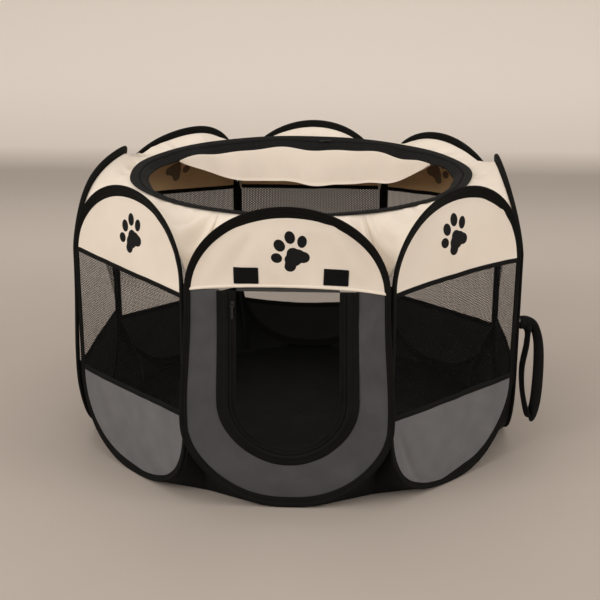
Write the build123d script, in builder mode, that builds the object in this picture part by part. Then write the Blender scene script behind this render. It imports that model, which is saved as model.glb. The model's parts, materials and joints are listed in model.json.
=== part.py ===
from build123d import *
import os
from math import atan2, cos, hypot, pi, radians, sin, tan

# Pop-up pet playpen: eight sprung-steel hoops in fabric bindings, sewn side by side into a
# regular octagon. Millimetres, +Z up, origin at the pen's centre on the ground. The panel with
# the door faces -Y. Panels count anticlockwise from it, seen from above.

# Driving dimensions of the pen
PANELS = 8
PANEL_WIDTH = 379.0  # corner to corner of the octagon, on the panels' mid-planes
PEN_HEIGHT = 602.0
ARCH_SPRING = 436.0  # where the hoop's top arch begins, and the upper edge of the window
# Lower edge of the window, panel by panel
WINDOW_FEET = [185.0, 185.0, 181.0, 158.0, 135.0, 160.0, 182.0, 185.0]
NAMES = ["front", "front_right", "right", "back_right", "back", "back_left", "left", "front_left"]

# Hoop, in its fabric binding
BINDING_THICK = 7.0
BINDING_SIDE = 7.0  # width of the binding on the hoop's straight sides
BINDING_END = 20.0  # width of the binding at the crown and at the foot
HOOP_SETBACK = 3.4  # from the octagon's corner to the hoop's edge
CORNER_ACROSS = 174.0  # the hoop's two lower corners are quarter ellipses
CORNER_UP = 170.0
WIRE_INSET = 2.0
WIRE_WIDTH = 3.0
WIRE_THICK = 1.6
POCKET_WALL = 1.5
POCKET_THICK = 3.2
SLEEVE_LENGTH = 26.0

# Cloths and tapes
CLOTH = 1.2
MESH = 0.8
TAPE = 2.4
UPPER_TAPE = 10.0
LOWER_TAPE = 12.0
FIT = 0.1  # between pieces of one panel

# Door in the front panel
DOOR_HALF = 96.0  # half width of the opening
BORDER_WIDTH = 34.0
DOOR_ROUND = 220.0  # height of the centre of the opening's round foot
HEM_GAP = 2.0
FLAP_GAP = 1.0
FLAP_SEGMENTS = 4
FLAP_THICK = 1.2
FLAP_FIRST_DEPTH = 4.0  # from the panel's mid-plane to the first folded segment
FLAP_PITCH = 2.0  # between folded segments
PATCH_X = 85.0
PATCH_Z = 466.0
PATCH_SIZE = (44.0, 30.0)
PATCH_THICK = 1.6

# Zip sliders
SLIDER_SIZE = (8.0, 4.0, 12.0)
SLIDER_Z = 412.0
PULL_SIZE = (4.0, 1.2, 24.0)
PULL_BARREL = 1.7
PIN_RADIUS = 0.9
PIN_STAND = 2.1  # from the slider's face to the pull's pin
PIN_CLEAR = 0.08
EAR = 1.2

# Floor, canopy and the round opening in the top
FLOOR_THICK = 1.6
RIM_Z = 566.0
RIM_OUTER = 368.0
RIM_INNER = 327.5
RIM_THICK = 2.0
GORE_THICK = 1.6
GORE_LAP = 3.0  # under the rim tape
GORE_TURNS = [-88, -76, -62, -46, -30, -15, 0, 15, 30, 46, 62, 76, 88]
SEAM_GAP = 1.5  # between a gore and the corner's seam
CROWN_DROP = 10.0
SKIN_CLEAR = 1.0  # floor and canopy stay this far from the hoops
COVER_RADIUS = 325.0
COVER_THICK = 1.5
COVER_HALF = 287.0
COVER_DROP = 96.0
COVER_TOP = 562.0
RIM_SLIDER_ANGLE = 84.5

# Handle loop of webbing, on the outside of the right panel
HANDLE_THICK = 2.2
HANDLE_WIDTH = 25.0
HANDLE_PLACE = -171.0  # along the panel, from its middle to the middle of the webbing
HANDLE_STAND = 1.6  # from the panel's binding to the sewn end
HANDLE_LOOP = [
    (304.0, 0.0), (308.0, 50.0), (200.0, 60.0), (82.0, 52.0),
    (82.0, 31.0), (200.0, 22.0), (258.0, 25.0), (282.0, 0.0),
]
HANDLE_RADII = [3.5, 26.0, 120.0, 9.0, 9.0, 120.0, 30.0, 3.5]


apothem = PANEL_WIDTH / 2 / tan(pi / PANELS)
hoop_half = PANEL_WIDTH / 2 - HOOP_SETBACK
upper_tape_low = ARCH_SPRING - UPPER_TAPE / 2
upper_tape_high = ARCH_SPRING + UPPER_TAPE / 2
flap_half = DOOR_HALF - FLAP_GAP
flap_hinge_z = ARCH_SPRING - HEM_GAP
flap_drop = flap_hinge_z - (DOOR_ROUND - flap_half)
segment_drop = flap_drop / FLAP_SEGMENTS


def panel_plane(index, outward=0.0):
    """The mid-plane of a panel moved outward: x runs along the panel, y is up, z points outward."""
    turn = radians(-90 + 360 / PANELS * index)
    reach = apothem + outward
    return Plane(
        origin=(reach * cos(turn), reach * sin(turn), 0),
        x_dir=(-sin(turn), cos(turn), 0),
        z_dir=(cos(turn), sin(turn), 0),
    )


def hoop_outline(side, end):
    """The hoop's outline moved inward by side on its straight sides and by end at crown and foot."""
    half = hoop_half - side
    foot_half = hoop_half - CORNER_ACROSS
    corner_x = CORNER_ACROSS - side
    corner_y = CORNER_UP - end
    crown = PEN_HEIGHT - end - ARCH_SPRING
    with BuildSketch(mode=Mode.PRIVATE) as outline:
        with BuildLine():
            Line((-foot_half, end), (foot_half, end))
            EllipticalCenterArc((foot_half, CORNER_UP), corner_x, corner_y, -90, arc_size=90)
            Line((half, CORNER_UP), (half, ARCH_SPRING))
            EllipticalCenterArc((0, ARCH_SPRING), half, crown, 0, arc_size=180)
            Line((-half, ARCH_SPRING), (-half, CORNER_UP))
            EllipticalCenterArc((-foot_half, CORNER_UP), corner_x, corner_y, 180, arc_size=90)
        make_face()
    return outline.sketch


def band(low, high):
    """A wide band between two heights, to cut a panel's cloth into its fields."""
    with BuildSketch(mode=Mode.PRIVATE) as field:
        with Locations((0, (low + high) / 2)):
            Rectangle(2 * PANEL_WIDTH, high - low)
    return field.sketch


def door_shape(half, top):
    """A straight-sided opening with a half-round foot."""
    with BuildSketch(mode=Mode.PRIVATE) as shape:
        with Locations((0, (DOOR_ROUND + top) / 2)):
            Rectangle(2 * half, top - DOOR_ROUND)
        with Locations((0, DOOR_ROUND)):
            Circle(half)
    return shape.sketch


def save(piece, name):
    """Label a finished piece and write it as one STEP file."""
    piece.part.label = name
    export_step(piece.part, f"parts/{name}.step")


def make_hoop(index, name):
    """A flat spring-steel hoop with its crimped sleeve, and the binding that it lies in."""
    plane = panel_plane(index)
    inner = WIRE_INSET + WIRE_WIDTH
    with BuildPart() as wire:
        with BuildSketch(plane):
            add(hoop_outline(WIRE_INSET, WIRE_INSET))
            add(hoop_outline(inner, inner), mode=Mode.SUBTRACT)
        extrude(amount=WIRE_THICK / 2, both=True)
    with BuildPart() as sleeve:
        with BuildSketch(plane):
            with Locations((0, BINDING_SIDE / 2)):
                Rectangle(SLEEVE_LENGTH, BINDING_SIDE - 2 * POCKET_WALL)
        extrude(amount=POCKET_THICK / 2, both=True)
        with BuildSketch(plane):
            with Locations((0, WIRE_INSET + WIRE_WIDTH / 2)):
                Rectangle(2 * SLEEVE_LENGTH, WIRE_WIDTH)
        extrude(amount=WIRE_THICK / 2, both=True, mode=Mode.SUBTRACT)
    with BuildPart() as hoop:
        add(wire.part)
        add(sleeve.part)
    save(hoop, f"hoop_{name}")

    pocket_inner = BINDING_SIDE - POCKET_WALL
    with BuildPart() as binding:
        with BuildSketch(plane):
            add(hoop_outline(0, 0))
            add(hoop_outline(BINDING_SIDE, BINDING_END), mode=Mode.SUBTRACT)
        extrude(amount=BINDING_THICK / 2, both=True)
        with BuildSketch(plane):
            add(hoop_outline(POCKET_WALL, POCKET_WALL))
            add(hoop_outline(pocket_inner, pocket_inner), mode=Mode.SUBTRACT)
        extrude(amount=POCKET_THICK / 2, both=True, mode=Mode.SUBTRACT)
    save(binding, f"binding_{name}")


def make_field(index, name, low, high, thick):
    """One field of a panel's cloth, inside the binding and between two heights."""
    with BuildPart() as field:
        with BuildSketch(panel_plane(index)):
            add(hoop_outline(BINDING_SIDE + FIT, BINDING_END + FIT))
            add(band(low, high), mode=Mode.INTERSECT)
        extrude(amount=thick / 2, both=True)
    save(field, name)


def make_window_panel(index, name):
    """Upper cloth, mesh window, lower cloth and the two tapes that join them."""
    window_foot = WINDOW_FEET[index]
    make_field(index, f"upper_cloth_{name}", upper_tape_high, PEN_HEIGHT, CLOTH)
    make_field(index, f"mesh_{name}", window_foot + LOWER_TAPE / 2, upper_tape_low, MESH)
    make_field(index, f"lower_cloth_{name}", 0, window_foot - LOWER_TAPE / 2, CLOTH)
    with BuildPart() as tapes:
        with BuildSketch(panel_plane(index)):
            add(band(upper_tape_low, upper_tape_high))
            add(band(window_foot - LOWER_TAPE / 2, window_foot + LOWER_TAPE / 2))
            add(hoop_outline(BINDING_SIDE + FIT, BINDING_END + FIT), mode=Mode.INTERSECT)
        extrude(amount=TAPE / 2, both=True)
    save(tapes, f"tapes_{name}")


def make_door_panel(index, name):
    """Front panel: upper cloth, the surround of the door, and the door's zip border."""
    make_field(index, f"upper_cloth_{name}", ARCH_SPRING, PEN_HEIGHT, CLOTH)
    with BuildPart() as surround:
        with BuildSketch(panel_plane(index)):
            add(hoop_outline(BINDING_SIDE + FIT, BINDING_END + FIT))
            add(band(0, ARCH_SPRING), mode=Mode.INTERSECT)
            add(door_shape(DOOR_HALF + BORDER_WIDTH, ARCH_SPRING), mode=Mode.SUBTRACT)
        extrude(amount=CLOTH / 2, both=True)
    save(surround, f"lower_cloth_{name}")
    with BuildPart() as border:
        with BuildSketch(panel_plane(index)):
            add(door_shape(DOOR_HALF + BORDER_WIDTH, ARCH_SPRING))
            add(door_shape(DOOR_HALF, ARCH_SPRING), mode=Mode.SUBTRACT)
        extrude(amount=TAPE / 2, both=True)
    save(border, "door_border")
    with BuildPart() as patches:
        with BuildSketch(panel_plane(index, CLOTH / 2)):
            with Locations((-PATCH_X, PATCH_Z), (PATCH_X, PATCH_Z)):
                RectangleRounded(*PATCH_SIZE, 2)
        extrude(amount=PATCH_THICK)
    save(patches, "door_patches")


def make_flap_segment(order):
    """One of the door flap's segments, folded up zigzag behind the upper cloth."""
    top = order * segment_drop + FLAP_GAP
    bottom = (order + 1) * segment_drop - (FLAP_GAP if order < FLAP_SEGMENTS - 1 else 0)
    depth = FLAP_FIRST_DEPTH + FLAP_PITCH * order
    y = depth - apothem
    if order % 2 == 0:
        plane = Plane(origin=(0, y, flap_hinge_z - order * segment_drop), x_dir=(1, 0, 0), z_dir=(0, -1, 0))
    else:
        plane_z = flap_hinge_z + (order + 1) * segment_drop
        plane = Plane(origin=(0, y, plane_z), x_dir=(1, 0, 0), z_dir=(0, 1, 0))
    with BuildPart() as segment:
        with BuildSketch(plane):
            with Locations((0, (flap_drop - flap_half) / 2)):
                Rectangle(2 * flap_half, flap_drop - flap_half)
            with Locations((0, flap_drop - flap_half)):
                Circle(flap_half)
            with Locations((0, (top + bottom) / 2)):
                Rectangle(4 * flap_half, bottom - top, mode=Mode.INTERSECT)
        extrude(amount=FLAP_THICK / 2, both=True)
    save(segment, f"door_flap_{order + 1}")


def make_door_slider():
    """Zip slider on the left leg of the border, and its pull on a pin between the slider's ears."""
    wide, thick, tall = SLIDER_SIZE
    x = -(DOOR_HALF + wide / 2 + 2)
    slider_face = apothem + TAPE / 2 + FIT + thick
    pin = (x, -slider_face - PIN_STAND, SLIDER_Z - tall / 4)
    ear_x = (wide - EAR) / 2
    with BuildPart() as slider:
        with BuildSketch(panel_plane(0, TAPE / 2 + FIT)):
            with Locations((x, SLIDER_Z)):
                RectangleRounded(wide, tall, 2)
        extrude(amount=thick)
        fillet(slider.edges().group_by(Axis.Y)[0], 0.8)
        with Locations((x - ear_x, -slider_face, pin[2]), (x + ear_x, -slider_face, pin[2])):
            Box(EAR, 2 * (PIN_STAND + PIN_RADIUS), 2 * PULL_BARREL)
        with Locations(pin):
            Cylinder(PIN_RADIUS, wide, rotation=(0, 90, 0))
    save(slider, "door_slider")

    pull_wide, pull_thick, pull_long = PULL_SIZE
    with BuildPart() as pull:
        with Locations(pin):
            Cylinder(PULL_BARREL, pull_wide, rotation=(0, 90, 0))
        with Locations((x, pin[1] - PULL_BARREL + pull_thick / 2, pin[2] - pull_long / 2)):
            Box(pull_wide, pull_thick, pull_long)
        with Locations(pin):
            Cylinder(PIN_RADIUS + PIN_CLEAR, 2 * wide, rotation=(0, 90, 0), mode=Mode.SUBTRACT)
    save(pull, "door_pull")


def octagon(reach):
    """The pen's plan, with its flats at the given distance from the centre."""
    with BuildSketch(mode=Mode.PRIVATE) as plan:
        RegularPolygon(reach, PANELS, major_radius=False, rotation=180 / PANELS)
    return plan.sketch


def hoop_space():
    """The space that the eight hoops take, and a little more, to be cut out of floor and canopy."""
    with BuildPart(mode=Mode.PRIVATE) as space:
        for index in range(PANELS):
            with BuildSketch(panel_plane(index)):
                add(hoop_outline(-SKIN_CLEAR, -SKIN_CLEAR))
            extrude(amount=BINDING_THICK / 2 + SKIN_CLEAR, both=True)
    return space.part


def make_floor_mat(space):
    """Floor cloth, with the gores that fill the gaps between the hoops' round lower corners."""
    with BuildPart() as mat:
        with BuildSketch():
            add(octagon(apothem + CLOTH / 2))
        extrude(amount=FLOOR_THICK)
        with BuildSketch():
            add(octagon(apothem + CLOTH / 2))
            add(octagon(apothem - CLOTH / 2), mode=Mode.SUBTRACT)
        extrude(amount=CORNER_UP)
        add(space, mode=Mode.SUBTRACT)
    save(mat, "floor_mat")


def gore_section(index, reach, turn):
    """A cut through a gore, upright and through the pen's axis, from the arch down to the rim tape.

    The turn says how far round the half-elliptic arch the cut is, from its crown.
    """
    half = reach * tan(pi / PANELS) - SEAM_GAP
    crown = PEN_HEIGHT - CROWN_DROP - ARCH_SPRING
    along = half * sin(radians(turn))
    height = ARCH_SPRING + crown * cos(radians(turn))
    azimuth = radians(-90 + 360 / PANELS * index) + atan2(along, reach)
    out = hypot(reach, along)
    inner = RIM_OUTER - GORE_LAP
    slope = hypot(out - inner, height - RIM_Z)
    down = GORE_THICK * (out - inner) / slope
    side = GORE_THICK * (height - RIM_Z) / slope
    outward = (cos(azimuth), sin(azimuth), 0)
    plane = Plane(origin=(0, 0, 0), x_dir=outward, z_dir=(sin(azimuth), -cos(azimuth), 0))
    return plane, [(out, height), (inner, RIM_Z), (inner + side, RIM_Z - down), (out + side, height - down)]


def make_canopy():
    """Roof cloth in eight gores, from each panel's arch to the round opening in the top."""
    reach = apothem - BINDING_THICK / 2 - SKIN_CLEAR
    with BuildPart() as canopy:
        for index in range(PANELS):
            for turn in GORE_TURNS:
                plane, corners = gore_section(index, reach, turn)
                with BuildSketch(plane):
                    Polygon(*corners, align=None)
            loft(ruled=True)
    save(canopy, "canopy")


def make_rim():
    """Zip tape round the top opening, its slider, and the cover that hangs inside the rear arc."""
    with BuildPart() as rim:
        with BuildSketch(Plane.XY.offset(RIM_Z)):
            Circle(RIM_OUTER)
            Circle(RIM_INNER, mode=Mode.SUBTRACT)
        extrude(amount=RIM_THICK)
    save(rim, "rim_tape")

    turn = radians(RIM_SLIDER_ANGLE)
    middle = (RIM_OUTER + RIM_INNER) / 2
    deck = RIM_Z + RIM_THICK
    origin = (middle * cos(turn), middle * sin(turn), deck + 0.1)
    plane = Plane(origin=origin, x_dir=(-sin(turn), cos(turn), 0))
    wide, thick, tall = SLIDER_SIZE
    with BuildPart() as slider:
        with BuildSketch(plane):
            RectangleRounded(tall, wide, 2)
        extrude(amount=thick)
        with BuildSketch(plane.offset(thick)):
            with Locations((tall, 0)):
                RectangleRounded(PULL_SIZE[2], PULL_SIZE[0], 1.8)
        extrude(amount=PULL_SIZE[1])
    save(slider, "top_slider")

    with BuildPart() as cover:
        with BuildSketch(Plane.XY.offset(COVER_TOP - COVER_DROP)):
            Circle(COVER_RADIUS)
            Circle(COVER_RADIUS - COVER_THICK, mode=Mode.SUBTRACT)
            with Locations((0, COVER_RADIUS)):
                Rectangle(2 * COVER_HALF, 2 * COVER_RADIUS, mode=Mode.INTERSECT)
        extrude(amount=COVER_DROP)
        with BuildSketch(Plane.XZ):
            with BuildLine():
                Line((COVER_HALF, COVER_TOP), (-COVER_HALF, COVER_TOP))
                ThreePointArc(
                    (-COVER_HALF, COVER_TOP), (0, COVER_TOP - COVER_DROP), (COVER_HALF, COVER_TOP)
                )
            make_face()
        extrude(amount=-2 * COVER_RADIUS, mode=Mode.INTERSECT)
    save(cover, "top_cover")


def make_handle():
    """A loop of webbing, both ends sewn at one place on the outside of the right panel."""
    side = NAMES.index("right")
    face = apothem + BINDING_THICK / 2 + HANDLE_STAND
    corners = [(out, height) for height, out in HANDLE_LOOP]
    turn = radians(-90 + 360 / PANELS * side)
    plane = Plane(
        origin=(face * cos(turn) - HANDLE_PLACE * sin(turn), face * sin(turn) + HANDLE_PLACE * cos(turn), 0),
        x_dir=(cos(turn), sin(turn), 0),
        z_dir=(sin(turn), -cos(turn), 0),
    )
    with BuildPart() as handle:
        with BuildSketch(plane):
            with BuildLine():
                FilletPolyline(*corners, radius=HANDLE_RADII, close=True)
            make_face()
            offset(amount=-HANDLE_THICK, mode=Mode.SUBTRACT)
        extrude(amount=HANDLE_WIDTH / 2, both=True)
    save(handle, "handle_strap")


os.makedirs("parts", exist_ok=True)
for number, panel in enumerate(NAMES):
    make_hoop(number, panel)
    if number == 0:
        make_door_panel(number, panel)
    else:
        make_window_panel(number, panel)
for order in range(FLAP_SEGMENTS):
    make_flap_segment(order)
make_door_slider()
make_floor_mat(hoop_space())
make_canopy()
make_rim()
make_handle()
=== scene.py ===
import json
from math import asin, cos, hypot, pi, radians, sin, sqrt, tan

import bmesh
import bpy
import numpy as np
from mathutils import Matrix, Vector

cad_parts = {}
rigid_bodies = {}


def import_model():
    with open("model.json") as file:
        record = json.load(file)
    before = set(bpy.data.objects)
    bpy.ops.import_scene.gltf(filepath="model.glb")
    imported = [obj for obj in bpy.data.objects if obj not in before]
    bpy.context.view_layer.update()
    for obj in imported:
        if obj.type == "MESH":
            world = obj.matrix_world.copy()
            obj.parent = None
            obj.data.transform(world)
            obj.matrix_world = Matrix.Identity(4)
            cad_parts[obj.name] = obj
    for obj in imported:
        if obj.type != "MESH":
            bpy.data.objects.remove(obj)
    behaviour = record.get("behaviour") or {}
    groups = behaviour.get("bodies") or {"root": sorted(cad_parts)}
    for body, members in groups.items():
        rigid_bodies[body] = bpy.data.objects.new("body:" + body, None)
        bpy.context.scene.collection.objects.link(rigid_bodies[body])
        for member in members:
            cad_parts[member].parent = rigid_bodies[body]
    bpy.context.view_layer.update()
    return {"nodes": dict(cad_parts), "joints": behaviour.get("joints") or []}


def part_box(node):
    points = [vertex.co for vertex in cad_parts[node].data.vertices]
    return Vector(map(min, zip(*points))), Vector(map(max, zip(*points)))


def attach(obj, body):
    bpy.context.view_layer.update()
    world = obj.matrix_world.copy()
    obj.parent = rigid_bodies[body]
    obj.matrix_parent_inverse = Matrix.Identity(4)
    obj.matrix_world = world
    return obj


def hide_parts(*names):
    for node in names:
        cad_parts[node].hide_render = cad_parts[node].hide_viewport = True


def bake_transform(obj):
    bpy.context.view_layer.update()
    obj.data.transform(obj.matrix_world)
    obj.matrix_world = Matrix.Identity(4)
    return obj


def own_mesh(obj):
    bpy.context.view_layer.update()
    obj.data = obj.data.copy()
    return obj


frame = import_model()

# ---------------------------------------------------------------- sizes from the frame, in metres

NAMES = ["front", "front_right", "right", "back_right", "back", "back_left", "left", "front_left"]
SIDES = len(NAMES)
HALF_TURN = pi / SIDES  # half of one panel's share of the round

binding_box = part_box("binding_front")
APOTHEM = -(binding_box[0].y + binding_box[1].y) / 2
CORNER_S = APOTHEM * tan(HALF_TURN)  # from a panel's middle to the octagon's corner
HOOP_HALF = binding_box[1].x
HEIGHT = binding_box[1].z
ARCH_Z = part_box("upper_cloth_front")[0].z
CROWN = HEIGHT - ARCH_Z
CORNER_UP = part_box("floor_mat")[1].z
FOOT_HALF = max(abs(v.co.x) for v in frame["nodes"]["binding_front"].data.vertices if v.co.z < 1e-5)
CORNER_ACROSS = HOOP_HALF - FOOT_HALF
INNER_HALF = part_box("mesh_back")[1].x
FEET = [0.0] + [
    (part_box(f"lower_cloth_{name}")[1].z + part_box(f"mesh_{name}")[0].z) / 2 for name in NAMES[1:]
]  # lower edge of each window
BINDING_SIDE = HOOP_HALF - INNER_HALF
BINDING_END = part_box("lower_cloth_back")[0].z
BORDER_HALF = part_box("door_border")[1].x
BORDER_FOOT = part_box("door_border")[0].z
DOOR_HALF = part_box("door_flap_1")[1].x + 0.001
DOOR_ROUND = BORDER_FOOT + BORDER_HALF  # height of the centre of the round foot
RIM_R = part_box("rim_tape")[1].x
RIM_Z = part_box("rim_tape")[0].z
RIM_INNER = RIM_R - 0.0405
COVER_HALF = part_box("top_cover")[1].x
COVER_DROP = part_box("top_cover")[1].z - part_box("top_cover")[0].z

# ---------------------------------------------------------------- how the cloth is sewn and hangs, in metres

CLOTH = 0.0011  # thickness of the panels' cloth
LEAST_FILL = 0.3  # least share of its flat width times length that a cut cloth fills
TUCK = 0.003  # how far cloth runs in under the binding
LAP = 0.003  # how far two cloths of a panel lie over each other
OVERHANG = 0.0024  # how far the binding's round edge stands past the hoop's outline
WIRE = 0.0040  # radius of the binding's round edge
FLANGE_MORE = 0.0010  # how much wider than the CAD's the stitched binding is all round
ARCH_FLANGE_MORE = 0.0026  # and how much more at the crown
TWIST = 0.007  # how far the roof cloth turns the arch's binding inward
UPPER_TAPE, LOWER_TAPE = 0.010, 0.012  # widths of a window's tapes
TAPE_THICK = 0.0026
SAG = 0.014  # how far the back window's foot hangs down in its middle
SAG_LOWER = 0.004  # and how much lower its ends are
FULLNESS = 0.0035  # how far a panel's cloth stands outward in its middle
CUT_FROM = 0.050  # how far from a panel's middle the floor cloth leaves the panel's foot
FLOOR_LIFT = 0.0025  # height of the floor cloth's middle over the ground
PATCH_WIDE, PATCH_TALL = 0.045, 0.031
PATCHES = [(-0.0755, 0.4680, 1.0), (0.0885, 0.4660, -2.5)]  # middle along, middle up and lean in degrees
COIL_SHARE = 0.49  # where the top zip's coil runs across its tape, from the outer edge
RIM_SLIDER_TURN = radians(84.5)  # where its slider stands, from +X

# How far each arch's crown is drawn by the roof cloth: along the panel, outward and up
LEANS = [
    (-0.002, 0.016, -0.003), (0, 0, 0.005), (0.018, -0.035, 0.002), (0.003, -0.012, 0),
    (-0.009, 0.006, 0.005), (-0.044, -0.018, 0.006), (-0.066, -0.057, 0.003), (0.010, 0, 0),
]
REAR_LEAN = (5, 6)  # panels whose arch leans more at its rear end
# How far the hoop's left and right sides stand to the right: at their top, then more at their belly
SIDEWAYS = {
    0: ((-0.001, -0.001), (-0.017, 0.014)), 1: ((0.0, -0.005), (0.0, -0.004)),
    6: ((0, 0), (0, 0.008)), 7: ((0.003, -0.004), (0.0, -0.004)),
}
BELLY_UP, BELLY = 0.19, 0.14  # height of the belly and how far it reaches
PROUD = 0.007  # how far the sides of a spread hoop stand outward
GROOVE = 0.12  # how far in from the arch's edge the cloth is turned, as a share of the way to the middle
# Where along its panel a rear lean begins to grow, how soon it is full, and its share before that
REAR_FROM, REAR_REACH, REAR_LEAST = 0.16, 0.20, 0.35
# How much lower than the front's the left and right corners of these hoops' feet run
SQUARE = {1: (0.022, -0.010), 6: (0.0, 0.010), 7: (0.004, 0.018)}
# Height of the upper tape over the arch's foot: at its left end, at its right end, and its bow
TAPE_RISE = {
    1: (-0.007, -0.004, 0.007), 3: (0.024, 0.0, 0.0), 5: (0.0, 0.026, 0.0), 7: (0.006, -0.013, 0.002),
}
# How far the roof cloth bulges up over each corner, from the one between front and front right on
BULGES = [0.0, 0.0, 0.060, 0.018, 0.034, 0.068, 0.0, 0.0]
# Sharp creases in the stretched cloth of each panel: (from, to, half width, height)
CREASES = {
    0: [((-0.150, 0.450), (-0.085, 0.560), 0.012, 0.0032), ((-0.120, 0.445), (-0.040, 0.585), 0.010, -0.0026),
        ((0.140, 0.450), (0.075, 0.570), 0.012, 0.0034), ((0.165, 0.450), (0.120, 0.550), 0.010, -0.0030),
        ((-0.175, 0.420), (-0.135, 0.350), 0.007, 0.0030), ((0.172, 0.425), (0.140, 0.330), 0.007, 0.0036),
        ((-0.140, 0.120), (-0.060, 0.060), 0.010, 0.0016), ((0.150, 0.130), (0.090, 0.065), 0.008, -0.0014)],
    1: [((-0.165, 0.165), (-0.085, 0.020), 0.006, -0.0060), ((-0.150, 0.175), (-0.060, 0.030), 0.010, 0.0026),
        ((0.090, 0.165), (0.130, 0.080), 0.010, 0.0014), ((-0.120, 0.450), (-0.100, 0.560), 0.014, 0.0010)],
    7: [((0.120, 0.450), (0.090, 0.560), 0.012, 0.0014), ((0.080, 0.170), (0.140, 0.060), 0.010, 0.0014),
        ((-0.060, 0.160), (-0.120, 0.070), 0.012, -0.0012)],
}

# The paw print: its middle on the panel, then its own outlines in millimetres from there
PAW_PLACE = (0.008, 0.510)
PAW_DRAWN = {0: (-0.002, 0.002), 1: (-0.033, 0.004), 7: (0.011, -0.001)}  # how far off three prints are
PAW_TOES = [
    (-25.0, -9.0, 10.3, 9.3, 150), (-19.5, 15.0, 12.0, 9.8, 118), (-0.5, 30.5, 12.4, 9.4, 100),
    (21.5, 22.5, 11.8, 8.6, 84),
]  # middle, two radii and lean in degrees
PAW_HEART = (6.0, -9.0)
PAW_LOBES = [
    (4.5, 0.0, 11.0), (24.5, -8.0, 10.6), (-0.5, -25.0, 10.6), (7.0, -10.0, 14.5), (15.0, -3.5, 11.0),
    (0.5, -12.0, 11.0),
]  # middle and radius of each round of the pad

# The top zip's slider: centre, size and rounding of its plates, neck, bail and pull
SLIDER_PARTS = [
    ((0, 0, 0.0018), (0.0120, 0.0080, 0.0012), 0.0005),
    ((0, 0, -0.0016), (0.0120, 0.0080, 0.0012), 0.0005),
    ((-0.001, 0, 0.0003), (0.0060, 0.0024, 0.0040), 0.0004),
    ((0.0015, 0, 0.0034), (0.0080, 0.0026, 0.0026), 0.0007),
    ((-0.0120, 0.0010, 0.0040), (0.0200, 0.0052, 0.0014), 0.0006),
]

CAMERA_PLACE = (0.1325, -2.499, 1.069)
CAMERA_DOWN, CAMERA_LEFT = 17.586, 3.087  # degrees below level and left of +Y
CAMERA_LENS, CAMERA_SENSOR = 70.4, 36.0  # millimetres
# Name, place, size and power in watts of each lamp
LAMPS = [
    ("key", (-2.6, -2.8, 2.3), 2.4, 79), ("fill", (3.2, -1.5, 1.5), 2.4, 44), ("top", (0, 0.2, 3.6), 3.0, 26),
]
LAMP_TARGET = (0, 0, 0.25)
LAMP_COLOUR = (1.0, 0.97, 0.94)
SKY, SKY_POWER = (1.0, 0.965, 0.925, 1), 0.66
# The backdrop's line away from the camera and up
BACKDROP = [
    (-6.0, 0), (-2.0, 0), (1.0, 0), (2.5, 0), (3.2, 0), (3.9, 0.08), (4.2, 0.4), (4.3, 1.2), (4.3, 6.0),
]
BACKDROP_HALF = 9.0


# ---------------------------------------------------------------- small tools


def panel_matrix(index):
    """From a panel's own frame (x along it, y up, z outward) to the pen's frame."""
    turn = -pi / 2 + 2 * HALF_TURN * index
    out = Vector((cos(turn), sin(turn), 0))
    along = Vector((-sin(turn), cos(turn), 0))
    up = Vector((0, 0, 1))
    matrix = Matrix((along, up, out)).transposed().to_4x4()
    matrix.translation = out * APOTHEM
    return matrix


def to_pen(points, index):
    """Points of a panel's own frame in the pen's frame."""
    matrix = np.array(panel_matrix(index))
    return points @ matrix[:3, :3].T + matrix[:3, 3]


def squarer(index, s, z):
    """How much lower than the front's the corners of a hoop's foot run."""
    left, right = SQUARE.get(index, (0.0, 0.0))
    side = np.clip(0.5 + s / 0.06, 0, 1)
    return (left + (right - left) * side) * np.sin(np.clip(z / CORNER_UP, 0, 1) * pi)


def settle(index, points):
    """Where the pulled cloth and hoops really stand: points of a panel's own frame, moved."""
    points = np.array(points, float)
    s, z = points[:, 0].copy(), points[:, 1]
    rise = np.clip((z - ARCH_Z) / CROWN, 0, 1)
    around = np.sqrt((s / HOOP_HALF) ** 2 + rise**2)
    groove = np.clip((1 - around) / GROOVE, 0, 1) * np.clip(around / (1 - GROOVE), 0, 1) ** 2
    points[:, 2] -= TWIST * groove * np.sqrt(rise)
    points[:, 1] = z - squarer(index, s, z)
    if index in SIDEWAYS:
        (top_left, top_right), (more_left, more_right) = SIDEWAYS[index]
        belly = np.exp(-(((z - BELLY_UP) / BELLY) ** 2))
        far = np.minimum(np.abs(s) / (HOOP_HALF + OVERHANG), 1) ** 3
        points[:, 0] += np.where(s < 0, top_left + more_left * belly, top_right + more_right * belly) * far
        points[:, 2] += PROUD * far**2 * (1.0 if index == 0 else belly * (s > 0) * (index == 6))
    pull = rise**1.4
    if index in REAR_LEAN:
        share = np.clip((REAR_FROM - s) / REAR_REACH, 0, 1)
        pull = pull * (REAR_LEAST + (1 - REAR_LEAST) * share**2 * (3 - 2 * share))
    points[:, 0] += pull * LEANS[index][0]
    points[:, 2] += pull * LEANS[index][1]
    points[:, 1] += pull * LEANS[index][2]
    return points


def ripples(x, y, seed, pitch, amount, waves=7):
    """Soft, repeatable unevenness: a sum of sine waves in seeded directions."""
    rng = np.random.RandomState(seed)
    total = np.zeros(np.broadcast(x, y).shape)
    for _ in range(waves):
        turn, phase, scale = rng.uniform(0, 2 * pi), rng.uniform(0, 2 * pi), rng.uniform(0.6, 1.7)
        along = x * cos(turn) + y * sin(turn)
        total = total + np.sin(along * 2 * pi / (pitch * scale) + phase)
    return total * amount / sqrt(waves)


def distance_along(line):
    """How far each point of a line is from its start, measured along it."""
    return np.concatenate([[0], np.linalg.norm(np.diff(line, axis=0), axis=1).cumsum()])


def unit(vectors):
    """Vectors brought to length 1."""
    return vectors / np.linalg.norm(vectors, axis=1)[:, None]


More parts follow.
